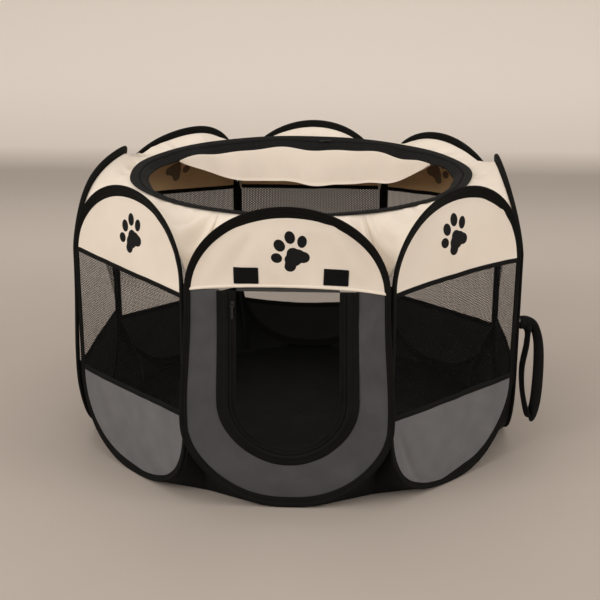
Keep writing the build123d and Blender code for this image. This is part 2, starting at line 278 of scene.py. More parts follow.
def quads(rows, columns, loop_rows=False, loop_columns=False):
    """Faces of a grid of rows by columns, closed either way if asked."""
    faces = []
    for r in range(rows if loop_rows else rows - 1):
        for c in range(columns if loop_columns else columns - 1):
            r2, c2 = (r + 1) % rows, (c + 1) % columns
            faces.append((r * columns + c, r * columns + c2, r2 * columns + c2, r2 * columns + c))
    return faces


def link(name, data):
    """A new object in the scene."""
    made = bpy.data.objects.new(name, data)
    bpy.context.scene.collection.objects.link(made)
    return made


def new_piece(name, verts, faces, materials, uvs=None, panel=None, marks=None, closed=True):
    """A mesh object with its weave coordinates, in metres, and its material slots."""
    mesh = bpy.data.meshes.new(name)
    if panel is not None:
        verts = settle(panel, verts)
    mesh.from_pydata([tuple(v) for v in verts], [], faces)
    if uvs is not None:
        layer = mesh.uv_layers.new(name="weave")
        corners = np.empty(len(mesh.loops), int)
        mesh.loops.foreach_get("vertex_index", corners)
        layer.data.foreach_set("uv", np.asarray(uvs, float)[corners].ravel())
    for material in materials:
        mesh.materials.append(material)
    if marks is not None:
        mesh.polygons.foreach_set("material_index", marks)
    mesh.polygons.foreach_set("use_smooth", [True] * len(mesh.polygons))
    if closed:
        shell = bmesh.new()
        shell.from_mesh(mesh)
        bmesh.ops.recalc_face_normals(shell, faces=shell.faces)
        shell.to_mesh(mesh)
        shell.free()
    mesh.update()
    piece = link(name, mesh)
    if panel is not None:
        piece.matrix_world = panel_matrix(panel)
    return piece


def fit(piece, slot, body, *stands_for):
    """Hangs a piece on the body that it rides on and hides the CAD nodes that it stands for; slot is not
    used.
    """
    for cad_node in stands_for:
        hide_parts(cad_node)
    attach(piece, body)
    return piece


def crumple(piece, index):
    """The piece goes with its panel and gets a mesh of its own."""
    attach(piece, NAMES[index])
    flatten(piece, index)


def flatten(piece, index):
    """Gives the piece a mesh of its own; the panel's matrix is worked out but not used."""
    matrix = panel_matrix(index)
    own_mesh(piece)


def crumple_all(made, cad_node):
    """Pieces of one cloth, each given with its panel: they stand for a CAD node, which is hidden, and go with
    their panels.
    """
    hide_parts(cad_node)
    for piece, index in made:
        crumple(piece, index)


def grid_normals(grid):
    """Unit normals of a grid of points."""
    across = np.gradient(grid, axis=1)
    down = np.gradient(grid, axis=0)
    normal = np.cross(across, down)
    length = np.linalg.norm(normal, axis=2, keepdims=True)
    return normal / np.maximum(length, 1e-12)


def grid_area(grid):
    """(mean row length, mean column length, area) of a grid of points."""
    rows = np.linalg.norm(np.diff(grid, axis=1), axis=2).sum(axis=1).max()
    columns = np.linalg.norm(np.diff(grid, axis=0), axis=2).sum(axis=0).max()
    a, b, c, d = grid[:-1, :-1], grid[:-1, 1:], grid[1:, 1:], grid[1:, :-1]
    area = np.linalg.norm(np.cross(b - a, c - a), axis=2) + np.linalg.norm(np.cross(c - a, d - a), axis=2)
    return float(rows), float(columns), float(area.sum() / 2)


def sheet_piece(name, grid, materials, thick=CLOTH, uv=None, panel=None,
                flat=None):
    """A closed thin sheet from a grid of points. Its back may have a material of its own."""
    rows, columns, _ = grid.shape
    offset = grid_normals(grid) * thick / 2
    verts = np.concatenate([(grid + offset).reshape(-1, 3), (grid - offset).reshape(-1, 3)])
    count = rows * columns
    front = quads(rows, columns)
    rear = [tuple(count + i for i in reversed(face)) for face in front]
    border = list(range(columns - 1))
    border += [r * columns + columns - 1 for r in range(rows - 1)]
    border += [(rows - 1) * columns + c for c in range(columns - 1, 0, -1)]
    border += [r * columns for r in range(rows - 1, 0, -1)]
    rim = [(a, a + count, b + count, b) for a, b in zip(border, border[1:] + border[:1])]
    marks = [0] * len(front) + [len(materials) - 1] * len(rear) + [0] * len(rim)
    uvs = np.concatenate([(grid[:, :, :2] if uv is None else uv).reshape(-1, 2)] * 2)
    piece = new_piece(name, verts, front + rear + rim, materials, uvs, panel, marks)
    for face in piece.data.polygons[len(front) * 2:]:
        face.use_smooth = False  # the cut edge keeps its own shading
    width, length, area = grid_area(grid)
    width, length = flat or (width, length)
    area = max(LEAST_FILL * width * length, min(area, width * length))
    return piece


def sweep_piece(name, rings, material, loop, uvs, panel=None):
    """A tube along lines of points, one for each point of its section, closed on itself or capped."""
    rings = np.stack(rings, axis=1)
    count, around, _ = rings.shape
    faces = quads(count, around, loop_rows=loop, loop_columns=True)
    if not loop:
        faces.append(tuple(range(around)))
        faces.append(tuple(reversed([(count - 1) * around + i for i in range(around)])))
    places = np.stack(uvs, axis=1).reshape(-1, 2)
    return new_piece(name, rings.reshape(-1, 3), faces, [material], places, panel)


def strip_piece(name, middle, across, up, width, thick, material, panel=None):
    """A flat tape with soft edges along a line of points. across and up are unit vectors per point."""
    half, rise = width / 2, thick / 2
    outline = [(-half, 0), (-half * 0.93, rise), (0, rise * 1.1), (half * 0.93, rise)]
    outline += [(half, 0), (half * 0.93, -rise), (0, -rise), (-half * 0.93, -rise)]
    rings = [middle + across * a + up * b for a, b in outline]
    length = distance_along(middle)
    uvs = [np.stack([length, np.full_like(length, a)], axis=1) for a, _ in outline]
    return sweep_piece(name, rings, material, False, uvs, panel)


# ---------------------------------------------------------------- materials


def node(tree, kind, inputs=None, **settings):
    """Add a node, set its properties and link or set its inputs."""
    made = tree.nodes.new(kind)
    for key, value in settings.items():
        setattr(made, key, value)
    for key, value in (inputs or {}).items():
        if isinstance(value, bpy.types.NodeSocket):
            tree.links.new(value, made.inputs[key])
        else:
            made.inputs[key].default_value = value
    return made


def maths(tree, operation, *values):
    """A Math node's output."""
    return node(tree, "ShaderNodeMath", dict(enumerate(values)), operation=operation).outputs[0]


def wave(tree, place, pitch):
    """A sine wave of that pitch along a coordinate."""
    return maths(tree, "SINE", maths(tree, "MULTIPLY", place, 2 * pi / pitch))


def noise(tree, place, scale, detail):
    """Smooth noise, with scale features to the metre."""
    return node(tree, "ShaderNodeTexNoise", {"Vector": place, "Scale": scale, "Detail": detail}).outputs[0]


def remap(tree, value, low, high, to_low=0.0, to_high=1.0, kind="LINEAR"):
    """A value between low and high brought to between to_low and to_high."""
    inputs = {0: value, 1: low, 2: high, 3: to_low, 4: to_high}
    return node(tree, "ShaderNodeMapRange", inputs, interpolation_type=kind).outputs[0]


def mixed(tree, share, first, second):
    """Two colours mixed, each a socket or plain red, green and blue."""
    pair = [tone if isinstance(tone, bpy.types.NodeSocket) else (*tone, 1) for tone in (first, second)]
    return node(tree, "ShaderNodeMix", {0: share, 6: pair[0], 7: pair[1]}, data_type="RGBA").outputs[2]


def bump(tree, height, strength, distance, over=None):
    """A surface normal from a height, laid over another one if given."""
    inputs = {"Height": height, "Strength": strength, "Distance": distance}
    if over:
        inputs["Normal"] = over
    return node(tree, "ShaderNodeBump", inputs).outputs[0]


def brighter(colour, times):
    """A colour made brighter, up to white."""
    return tuple(min(1.0, part * times) for part in colour)


def new_material(name, roughness, specular=0.3, sheen=0.0):
    """A node material with a Principled shader: (material, tree, shader)."""
    material = bpy.data.materials.new(name)
    material.use_nodes = True
    tree = material.node_tree
    shader = tree.nodes["Principled BSDF"]
    shader.inputs["Roughness"].default_value = roughness
    shader.inputs["Specular IOR Level"].default_value = specular
    shader.inputs["Sheen Weight"].default_value = sheen
    return material, tree, shader


def finish(tree, shader, **looks):
    """Links sockets to the shader's inputs, by the inputs' names in small letters."""
    for name, socket in looks.items():
        tree.links.new(socket, shader.inputs[name.replace("_", " ").title()])


def weave_place(tree):
    """The weave coordinates in metres: together, along and across."""
    place = node(tree, "ShaderNodeUVMap", uv_map="weave").outputs[0]
    parts = node(tree, "ShaderNodeSeparateXYZ", {0: place})
    return place, parts.outputs[0], parts.outputs[1]


def tinted(tree, place, light, dark, patch):
    """Colour that drifts between two tones in soft patches, with fine thread-to-thread change."""
    broad = maths(tree, "MULTIPLY", noise(tree, place, 1 / patch, 3.0), 0.7)
    fine = maths(tree, "MULTIPLY", noise(tree, place, 900.0, 1.0), 0.3)
    return mixed(tree, remap(tree, maths(tree, "ADD", broad, fine), 0.3, 0.7), dark, light)


def woven(name, light, dark, pitch=0.0009, roughness=0.85, patch=0.08, specular=0.25, glow=0.0):
    """Plain woven cloth, which lets the share glow of the light through."""
    material, tree, shader = new_material(name, roughness, specular)
    place, u, v = weave_place(tree)
    crossed = maths(tree, "MULTIPLY", wave(tree, u, pitch), wave(tree, v, pitch))
    creases = noise(tree, place, 38.0, 5.0)
    low = bump(tree, creases, 0.12, 0.004)
    normal = bump(tree, maths(tree, "MULTIPLY_ADD", crossed, 0.5, 0.5), 0.35, 0.0003, low)
    colour = tinted(tree, place, light, dark, patch)
    rough = remap(tree, creases, 0.0, 1.0, roughness - 0.07, roughness + 0.07)
    finish(tree, shader, base_color=colour, normal=normal, roughness=rough)
    if glow:
        thin = node(tree, "ShaderNodeBsdfTranslucent", {"Color": colour, "Normal": normal})
        both = node(tree, "ShaderNodeMixShader", {0: glow, 1: shader.outputs[0], 2: thin.outputs[0]})
        tree.links.new(both.outputs[0], tree.nodes["Material Output"].inputs[0])
    return material


def ribbed(name, light, dark, rib=0.0016, stitch=(), roughness=0.8, specular=0.3):
    """Tape or binding with cross ribs, and rows of stitches where stitch gives their places across."""
    material, tree, shader = new_material(name, roughness, specular)
    place, u, v = weave_place(tree)
    ribs = maths(tree, "MULTIPLY", wave(tree, u, rib), 0.35)
    height = maths(tree, "ADD", ribs, maths(tree, "MULTIPLY", wave(tree, v, rib * 0.55), 0.15))
    colour = tinted(tree, place, light, dark, 0.05)
    for row in stitch:
        near = maths(tree, "LESS_THAN", maths(tree, "ABSOLUTE", maths(tree, "SUBTRACT", v, row)), 0.0005)
        thread = maths(tree, "MULTIPLY", near, maths(tree, "GREATER_THAN", wave(tree, u, 0.0042), -0.45))
        height = maths(tree, "ADD", height, maths(tree, "MULTIPLY", thread, 1.6))
        colour = mixed(tree, thread, colour, brighter(light, 1.7))
    low = bump(tree, noise(tree, place, 60.0, 4.0), 0.25, 0.003)
    finish(tree, shader, base_color=colour, normal=bump(tree, height, 0.5, 0.0004, low))
    return material


def hole_level(open_share):
    """Level of the net's three waves above which that share of it is open."""
    return -1.5 + 4.5 * (1 - open_share) ** 2


def net(name, pitch, open_share, share_above=None, colour=(0.0065, 0.0065, 0.0065)):
    """Knitted mesh: dark threads round rows of small six-sided holes, smaller above if asked."""
    material, tree, shader = new_material(name, 0.8, 0.08)
    place, u, v = weave_place(tree)
    turns = 2 * pi / pitch
    slant = maths(tree, "MULTIPLY", u, turns / 2)
    rise = maths(tree, "MULTIPLY", v, turns * sqrt(3) / 2)
    total = maths(tree, "COSINE", maths(tree, "MULTIPLY", u, turns))
    for way in ("ADD", "SUBTRACT"):
        total = maths(tree, "ADD", total, maths(tree, "COSINE", maths(tree, way, slant, rise)))
    level = hole_level(open_share)
    if share_above:
        closing = hole_level(share_above) - level
        total = maths(tree, "SUBTRACT", total, maths(tree, "MULTIPLY", remap(tree, v, 0.22, 0.38), closing))
    hole = remap(tree, total, level - 0.25, level + 0.25)
    shade = mixed(tree, noise(tree, place, 25.0, 3.0), colour, brighter(colour, 1.8))
    normal = bump(tree, maths(tree, "MULTIPLY", total, -0.3), 0.4, 0.0006)
    finish(tree, shader, base_color=shade, alpha=maths(tree, "SUBTRACT", 1.0, hole), normal=normal)
    return material


def moulded(name, colour, roughness, metallic=0.0, specular=0.5):
    """Lacquered metal or moulded plastic, with a fine grain and worn, lighter patches."""
    material, tree, shader = new_material(name, roughness, specular)
    shader.inputs["Metallic"].default_value = metallic
    place = node(tree, "ShaderNodeTexCoord").outputs["Object"]
    wear = noise(tree, place, 260.0, 5.0)
    shade = mixed(tree, remap(tree, wear, 0.45, 0.75), colour, brighter(colour, 1.8))
    rough = remap(tree, wear, 0.0, 1.0, roughness - 0.1, roughness + 0.15)
    normal = bump(tree, noise(tree, place, 1500.0, 2.0), 0.15, 0.0002)
    finish(tree, shader, base_color=shade, roughness=rough, normal=normal)
    return material


def pile(name, colour):
    """Hook-and-loop tape: a dense, fuzzy pile of small loops."""
    material, tree, shader = new_material(name, 0.95, 0.08, 0.03)
    place = weave_place(tree)[0]
    loops = node(tree, "ShaderNodeTexVoronoi", {"Vector": place, "Scale": 1100.0}).outputs[0]
    shade = tinted(tree, place, brighter(colour, 1.8), colour, 0.02)
    finish(tree, shader, base_color=shade, normal=bump(tree, loops, 0.8, 0.0008))
    return material


def studio_floor():
    """Pale, matt studio floor with a faint mottle, a painted shadow band behind, where the floor meets the
    wall, and a paler wall.
    """
    material, tree, shader = new_material("studio_floor", 0.75, 0.2)
    place = node(tree, "ShaderNodeTexCoord").outputs["Object"]
    shade = mixed(tree, noise(tree, place, 2.2, 6.0), (0.40, 0.345, 0.30), (0.44, 0.38, 0.33))
    away = node(tree, "ShaderNodeSeparateXYZ", {0: place}).outputs[1]
    shade = mixed(tree, remap(tree, away, 0.0, 4.2, kind="SMOOTHSTEP"), shade, (0.82, 0.75, 0.68))
    # Painted shadow: a darker band on the floor just before the wall, where the shade near the wall falls.
    near = remap(tree, away, 1.2, 2.75, kind="SMOOTHSTEP")
    band = maths(tree, "MULTIPLY", near, remap(tree, away, 2.8, 3.3, 0.62, 0.0))
    finish(tree, shader, base_color=mixed(tree, band, shade, (0.22, 0.19, 0.165)))
    return material


CREAM = woven("cream_cloth", (0.84, 0.745, 0.635), (0.79, 0.695, 0.585), roughness=0.82, glow=0.08)
# Painted shade: the inside of the cream cloth is a tan brown that stands for the cream seen in shade inside
# the pen, on the panels' backs and the roof gores' undersides.
CREAM_INSIDE_SHADED = woven("cream_cloth_inside_painted_shade", (0.70, 0.47, 0.250), (0.61, 0.40, 0.210))
CREAM_HEM = woven("cream_hem", (0.84, 0.75, 0.64), (0.78, 0.69, 0.58), roughness=0.8)
# Painted light: the cover is the panels' cream cloth, made paler than theirs to stand for the light that
# falls on it from above.
COVER_CLOTH_LIT = woven("cover_cloth_painted_light", (0.93, 0.83, 0.715), (0.88, 0.78, 0.665), roughness=0.82, glow=0.3)
GREY = woven("grey_cloth", (0.155, 0.150, 0.150), (0.115, 0.112, 0.112), patch=0.05)
CHARCOAL = woven("charcoal_cloth", (0.072, 0.072, 0.073), (0.052, 0.052, 0.053), patch=0.05)
LINING = woven("black_lining", (0.0150, 0.0150, 0.0138), (0.0110, 0.0110, 0.0100), roughness=0.8,
               specular=0.12)
FLOOR_CLOTH = woven("black_floor_cloth", (0.0056, 0.0056, 0.0052), (0.0034, 0.0034, 0.0032), pitch=0.0012,
                    roughness=0.7, specular=0.12)
PRINT = woven("black_print", (0.0075, 0.0075, 0.0070), (0.0050, 0.0050, 0.0048), roughness=0.75,
              specular=0.15)
# The print showing through the cloth is real, but its colour is painted shade: a darker tan of the shaded
# inside, where the ink keeps back the light that comes through.
PRINT_BACK_SHADED = woven("print_seen_through_painted_shade", (0.20, 0.140, 0.088), (0.16, 0.110, 0.070))
BINDING = ribbed("black_binding", (0.0070, 0.0066, 0.0056), (0.0040, 0.0038, 0.0032), stitch=(0.0085, 0.0165),
                 specular=0.08)
TAPE = ribbed("black_tape", (0.0075, 0.0073, 0.0064), (0.0044, 0.0042, 0.0037), stitch=(-0.0035, 0.0035),
              specular=0.09)
RIM_TAPE = ribbed("rim_zip_tape", (0.0068, 0.0066, 0.0058), (0.0040, 0.0039, 0.0034),
                  stitch=(-0.017, -0.008, 0.008, 0.017), specular=0.15)
WEBBING = ribbed("black_webbing", (0.0085, 0.0085, 0.0080), (0.0050, 0.0050, 0.0046), rib=0.0024,
                 roughness=0.7, specular=0.15)
NET = net("black_net", 0.0044, 0.74)
NET_SIDE = net("black_net_side", 0.0044, 0.66)
NET_BACK_RIGHT = net("black_net_back_right", 0.0040, 0.66, 0.60)
NET_BACK = net("black_net_back", 0.0040, 0.66, 0.31)
NET_REAR = net("black_net_rear", 0.0040, 0.66, 0.44)
NET_FOLD = net("black_net_gathered", 0.0036, 0.60, colour=(0.0085, 0.0085, 0.0085))
NETS = [None, NET, NET_SIDE, NET_BACK_RIGHT, NET_BACK, NET_REAR, NET_SIDE, NET]  # each panel's
PILE = pile("hook_and_loop", (0.0035, 0.0035, 0.0035))
TEETH = moulded("zip_coil", (0.006, 0.006, 0.006), 0.7, specular=0.12)
LACQUER = moulded("black_lacquer", (0.008, 0.008, 0.008), 0.4, specular=0.4)
STEEL = moulded("spring_steel", (0.36, 0.37, 0.38), 0.35, metallic=1.0)
FLOOR = studio_floor()


# ---------------------------------------------------------------- outlines in a panel's plane


def hoop_points(side, end):
    """Stations round the hoop's outline, moved inward by side and end, from the foot anticlockwise."""
    corner = np.linspace(0, pi / 2, 25)
    arch = np.linspace(0, pi, 61)
    level = np.linspace(0, 1, 27)[1:-1]
    rx, ry = CORNER_ACROSS - side, CORNER_UP - end
    half, crown = HOOP_HALF - side, CROWN - end
    foot = [(x, end) for x in np.linspace(-FOOT_HALF, FOOT_HALF, 5)[1:-1]]
    right = [(FOOT_HALF + rx * sin(t), CORNER_UP - ry * cos(t)) for t in corner]
    rise = [(half, CORNER_UP + (ARCH_Z - CORNER_UP) * t) for t in level]
    top = [(half * cos(t), ARCH_Z + crown * sin(t)) for t in arch]
    fall = [(-x, z) for x, z in reversed(rise)]
    left = [(-x, z) for x, z in reversed(right)]
    return np.array(foot + right + rise + top + fall + left)


def half_width(z, tuck=TUCK):
    """Half the clear width inside the binding at a height."""
    z = np.asarray(z, float)
    rx, ry = CORNER_ACROSS - BINDING_SIDE, CORNER_UP - BINDING_END + tuck
    low = FOOT_HALF + rx * np.sqrt(np.clip(1 - ((CORNER_UP - z) / ry) ** 2, 0, 1))
    high = INNER_HALF * np.sqrt(np.clip(1 - ((z - ARCH_Z) / (CROWN - BINDING_END + tuck)) ** 2, 0, 1))
    return np.where(z < CORNER_UP, low, np.where(z > ARCH_Z, high, INNER_HALF)) + tuck


def cloth_depth(s, z, index):
    """How far a panel's cloth stands out of its plane: a slight fullness and soft tension folds."""
    width = half_width(np.clip(z, BINDING_END, HEIGHT - BINDING_END))
    side = np.clip(1 - (np.abs(s) / width) ** 2, 0, 1)
    top = np.clip((HEIGHT - BINDING_END - z) / 0.03, 0, 1)
    foot = np.clip((z - BINDING_END) / 0.03, 0, 1)
    full = FULLNESS * side * np.minimum(top, foot)
    slack = ripples(s, z, 11 + index, 0.17, 0.0011) + ripples(s * 1.6, z, 31 + index, 0.06, 0.0003)
    depth = full + slack * np.sqrt(side) * top * foot
    for (s1, z1), (s2, z2), wide, high in CREASES.get(index, ()):
        length = hypot(s2 - s1, z2 - z1)
        along = ((s - s1) * (s2 - s1) + (z - z1) * (z2 - z1)) / length**2
        apart = ((s - s1) * (z2 - z1) - (z - z1) * (s2 - s1)) / length
        ends = np.clip(1 - (2 * along - 1) ** 2, 0, 1)
        depth = depth + high * np.exp(-((apart / wide) ** 2)) * ends * np.minimum(top, foot) * side**0.35
    return depth


# ---------------------------------------------------------------- hoops, cloth and windows of every panel


def make_binding(index, name):
    """Folded binding round a hoop: a round edge over the spring and a flat flange stitched to the cloth."""
    outer = hoop_points(-OVERHANG, 0)
    inner = hoop_points(BINDING_SIDE + 0.001, BINDING_END)
    inward = inner - outer
    wide = np.linalg.norm(inward, axis=1)
    inward = inward / wide[:, None]
    wide = wide + FLANGE_MORE + ARCH_FLANGE_MORE * np.sqrt(np.clip((inner[:, 1] - ARCH_Z) / CROWN, 0, 1))
    length = distance_along(outer)
    profile = [(WIRE * (1 - cos(t)), WIRE * sin(t)) for t in np.linspace(0, 2.45, 7)]
    pucker = 0.00025 * np.sin(length * 2 * pi / 0.011)
    pucker = pucker + 0.0003 * np.sin(length * 2 * pi / 0.047 + index)
    rows = [(np.full_like(wide, d), np.full_like(wide, h)) for d, h in profile]
    rows.append((wide * 0.5 + WIRE, 0.0018 + pucker))
    rows.append((wide - 0.0012, 0.0015 + pucker * 0.6))
    rows.append((wide, np.full_like(wide, 0.0009)))
    rings, places = [], []
    for side in (1, -1):
        for d, h in rows if side > 0 else rows[:0:-1]:
            d = np.minimum(d, wide)
            rings.append(np.column_stack([outer + inward * d[:, None], side * h]))
            places.append(np.column_stack([length, d]))
    piece = sweep_piece(f"{name}_hoop_binding", rings, BINDING, True, places, index)
    fit(piece, "binding", name, f"binding_{name}")


def column_grid(low, high, s, rows, index):
    """Cloth between a lower and an upper edge, both given at the places s along the panel."""
    t = np.linspace(0, 1, rows)[:, None]
    z = low[None, :] + (high - low)[None, :] * t
    x = np.broadcast_to(s[None, :], z.shape)
    return np.stack([x, z, cloth_depth(x, z, index)], axis=2)


def arch_edge(s):
    """Height of the arch's inner edge, tucked in, at places s along the panel."""
    crown = CROWN - BINDING_END + TUCK
    return ARCH_Z + crown * np.sqrt(np.clip(1 - (s / (INNER_HALF + TUCK)) ** 2, 0, 1))


def foot_edge(s):
    """Height of the inner edge of the hoop's foot, tucked in, at places s along the panel."""
    rx, ry = CORNER_ACROSS - BINDING_SIDE + TUCK, CORNER_UP - BINDING_END + TUCK
    reach = np.clip((np.abs(s) - FOOT_HALF) / rx, 0, 1)
    return CORNER_UP - ry * np.sqrt(1 - reach**2)


def toe_outline(toe, turns):
    """Points round one toe of the paw print, in millimetres from the print's middle."""
    x, y, long, short, lean = toe
    lean = radians(lean)
    a, b = long * np.cos(turns), short * np.sin(turns)
    turn = np.array([[cos(lean), sin(lean)], [-sin(lean), cos(lean)]])
    return np.array([x, y]) + np.column_stack([a, b]) @ turn


def pad_outline(turns):
    """Points round the pad: three round lobes about a heart, run smoothly together."""
    ray = np.column_stack([np.cos(turns), np.sin(turns)])
    total = np.zeros_like(turns)
    for x, y, radius in PAW_LOBES:
        offset = np.array([x - PAW_HEART[0], y - PAW_HEART[1]])
        along = ray @ offset
        inside = radius**2 - (offset @ offset - along**2)
        reach = np.where(inside > 0, along + np.sqrt(np.maximum(inside, 0)), 0)
        total += np.maximum(reach, 0) ** 16
    return np.array(PAW_HEART) + ray * (total ** (1 / 16))[:, None]


def make_print(name, outlines, index, side, material):
    """The paw print as thin patches of ink, on the outside of the cloth or showing through inside, where it
    is painted in the inside's shaded brown.
    """
    verts, faces, uvs = [], [], []
    lift = side * (CLOTH / 2 + 0.0002)
    place = np.array(PAW_PLACE) + PAW_DRAWN.get(index, (0.0, 0.0))
    for outline, centre in outlines:
        start, count = len(verts), len(outline)
        rings = [centre + (outline - centre) * share for share in (1.0, 0.66, 0.33)]
        for ring in [*rings, centre[None]]:
            flat = place + ring / 1000
            depth = cloth_depth(flat[:, 0], flat[:, 1], index) + lift
            verts += list(np.column_stack([flat, depth]))
            uvs += list(flat)
        faces += [tuple(start + i for i in face) for face in quads(3, count, loop_columns=True)]
        hub = start + 3 * count
        last = start + 2 * count
        faces += [(last + i, last + (i + 1) % count, hub) for i in range(count)]
    if side > 0:
        faces = [tuple(reversed(face)) for face in faces]
    piece = new_piece(name, verts, faces, [material], uvs, index, closed=False)
    return fit(piece, "tape", NAMES[index])


def make_paw(name, index):
    """The print outside and its faint show-through inside, painted as a darker patch of the inside's painted
    shade.
    """
    turns = np.linspace(0, 2 * pi, 41)[:-1]
    outlines = [(toe_outline(toe, turns), np.array(toe[:2])) for toe in PAW_TOES]
    outlines.append((pad_outline(turns), np.array(PAW_HEART)))
    outside = make_print(f"{name}_paw_print", outlines, index, 1, PRINT)
    return [outside, make_print(f"{name}_paw_show_through", outlines, index, -1, PRINT_BACK_SHADED)]


def make_cloth(index, low, high, part, materials, slot, stands_for, half=INNER_HALF + TUCK, extra=()):
    """One stretched field of a panel's cloth, its points closer together near its sides."""
    name = NAMES[index]
    s = half * np.sin(np.linspace(-pi / 2, pi / 2, 73))
    grid = column_grid(low(s), high(s), s, 41, index)
    flat = (2 * half, float(high(s).max() - low(s).min()))
    piece = sheet_piece(f"{name}_{part}", grid, materials, panel=index,
                        flat=flat)
    fit(piece, slot, name, stands_for)


def level_tape(name, s, z, rise, width, thick, material, index):
    """A flat tape that lies along the panel's cloth at heights z."""
    middle = np.column_stack([s, z, cloth_depth(s, z, index) + rise])
    up = np.tile([0.0, 1.0, 0.0], (len(s), 1))
    out = np.tile([0.0, 0.0, 1.0], (len(s), 1))
    return strip_piece(name, middle, up, out, width, thick, material, index)


def make_tape(name, index, height, width, part, *stands_for):
    """A woven tape across the panel, sewn over the joint of two cloths."""
    half = float(half_width(height(np.array([INNER_HALF]))[0], 0.001))
    s = np.linspace(-half, half, 81)
    z = height(s) + ripples(s, s * 0, 71 + index, 0.12, 0.0005)
    piece = level_tape(f"{name}_{part}", s, z, 0.0, width, TAPE_THICK, TAPE, index)
    fit(piece, "tape", name, *stands_for)


def make_window_panel(index, name):
    """Cream cloth with a paw print, mesh window, grey cloth and two tapes."""
    left, right, bow = TAPE_RISE.get(index, (0.0, 0.0, 0.0))
    sag, lower = (SAG, SAG_LOWER) if name == "back" else (0.0, 0.0)

    def brow(s):
        """Upper edge of the window."""
        share = np.clip(s / INNER_HALF, -1, 1)
        return ARCH_Z + left + (right - left) * (0.5 + 0.5 * share) + bow * (1 - share**2)

    def foot(s):
        """Lower edge of the window."""
        return FEET[index] - lower - sag * np.clip(1 - (s / INNER_HALF) ** 2, 0, 1)

    def top(s):
        """Upper edge of the window within the arch."""
        return np.minimum(brow(s), arch_edge(s))

    make_cloth(index, lambda s: top(s) - LAP, arch_edge, "cream_cloth", [CREAM, CREAM_INSIDE_SHADED], "cream_cloth",
               f"upper_cloth_{name}", extra=make_paw(name, index))
    make_cloth(index, lambda s: np.maximum(foot(s) - LAP, foot_edge(s)), lambda s: top(s) + LAP, "window_net",
               [NETS[index]], "mesh", f"mesh_{name}")
    make_cloth(index, foot_edge, lambda s: foot(s) + LAP, "grey_cloth", [GREY, LINING], "grey_cloth",
               f"lower_cloth_{name}", half=float(half_width(FEET[index] - 0.002, 0.0)))
    make_tape(name, index, brow, UPPER_TAPE, "upper_tape", f"tapes_{name}")
    make_tape(name, index, foot, LOWER_TAPE, "lower_tape")


def make_net_fold(name, index):
    """Slack net inside a side panel, drawn together beside the rear hoop."""
    rear, widest = (-1, 0.185) if name == "left" else (1, 0.150)
    z = np.linspace(FEET[index] + 0.012, ARCH_Z - 0.004, 61)[:, None]
    share = np.linspace(0, 1, 49)[None]
    up = (z - z[0]) / (z[-1] - z[0])
    wide = 0.012 + widest * up**1.3
    s = rear * (INNER_HALF - 0.001 - wide * share)
    folds = np.sin(share * 34 + 3 * up) * (0.0035 + 0.0025 * np.sin(share * 11 + 1))
    depth = -0.003 - 0.004 * np.sin(pi * share) + 0.35 * folds * np.sin(pi * share) ** 0.5
    grid = np.stack([s, z + 0 * share, depth], axis=2)
    uv = np.stack([2.2 * share * wide, z + 0 * share], axis=2)
    piece = sheet_piece(f"{name}_net_fold", grid, [NET_FOLD], 0.0008, uv, index)
    fit(piece, "mesh", name)


def make_wire(index, name):
    """The sprung-steel hoop, drawn out of true with its binding round it."""
    outer, inner = hoop_points(0.0022, 0.0022), hoop_points(0.0048, 0.0048)
    length = distance_along(outer)
    half = [(0, 0.0006), (0.1, 0.0008), (0.9, 0.0008), (1, 0.0006)]  # share across and height
    rings, places = [], []
    for share, height in half + [(share, -height) for share, height in half[::-1]]:
        rings.append(np.column_stack([outer + (inner - outer) * share, length * 0 + height]))
        places.append(np.column_stack([length, length * 0 + share * 0.003]))
    piece = sweep_piece(f"{name}_spring_hoop", rings, STEEL, True, places, index)
    fit(piece, "spring_steel", name, f"hoop_{name}")


# ---------------------------------------------------------------- front panel with its door


def hem_edge(s):
    """Height of the cream cloth's hem, which lifts a little over the doorway."""
    left = np.clip(-s / INNER_HALF, 0, 1)
    return ARCH_Z - 0.002 + 0.0045 * left + 0.0115 * np.clip(1 - (s / INNER_HALF) ** 2, 0, 1)


def door_path(half, top):
    """Points down the left leg, round the foot and up the right leg of the doorway at a given half width."""
    left = [(-half, z) for z in np.linspace(top, DOOR_ROUND, 40)[:-1]]
    foot = [(-half * cos(t), DOOR_ROUND - half * sin(t)) for t in np.linspace(0, pi, 49)]
    right = [(half, z) for z in np.linspace(DOOR_ROUND, top, 40)[1:]]
    return np.array(left + foot + right)


def outer_edge(points):
    """Where lines straight out from the doorway's path meet the hoop's binding."""
    found = []
    reach = np.linspace(0, 0.25, 1501)
    for x, z in points:
        out = np.array([x, min(z - DOOR_ROUND, 0.0)])
        out = out / np.linalg.norm(out)
        s, h = x + out[0] * reach, z + out[1] * reach
        inside = (np.abs(s) < half_width(h)) & (h > foot_edge(s))
        last = np.argmin(inside) if not inside.all() else len(reach) - 1
        found.append((s[last], h[last]))
    return np.array(found)


def make_surround():
    """Charcoal cloth between the hoop and the doorway's border."""
    inner = door_path(BORDER_HALF - 0.005, ARCH_Z + 0.004)
    outer = outer_edge(inner)
    share = np.linspace(0, 1, 13)[:, None, None]
    flat = outer[None] + (inner - outer)[None] * share
    depth = cloth_depth(flat[:, :, 0], flat[:, :, 1], 0) - 0.0012
    crease = ripples(flat[:, :, 0] * 2.2, flat[:, :, 1], 5, 0.09, 0.0006) * np.sin(pi * share[:, :, 0])
    piece = sheet_piece("front_door_surround", np.dstack([flat, depth + crease]), [CHARCOAL, LINING], panel=0,
                        flat=(2 * INNER_HALF, ARCH_Z))
    fit(piece, "charcoal_cloth", "front", "lower_cloth_front")


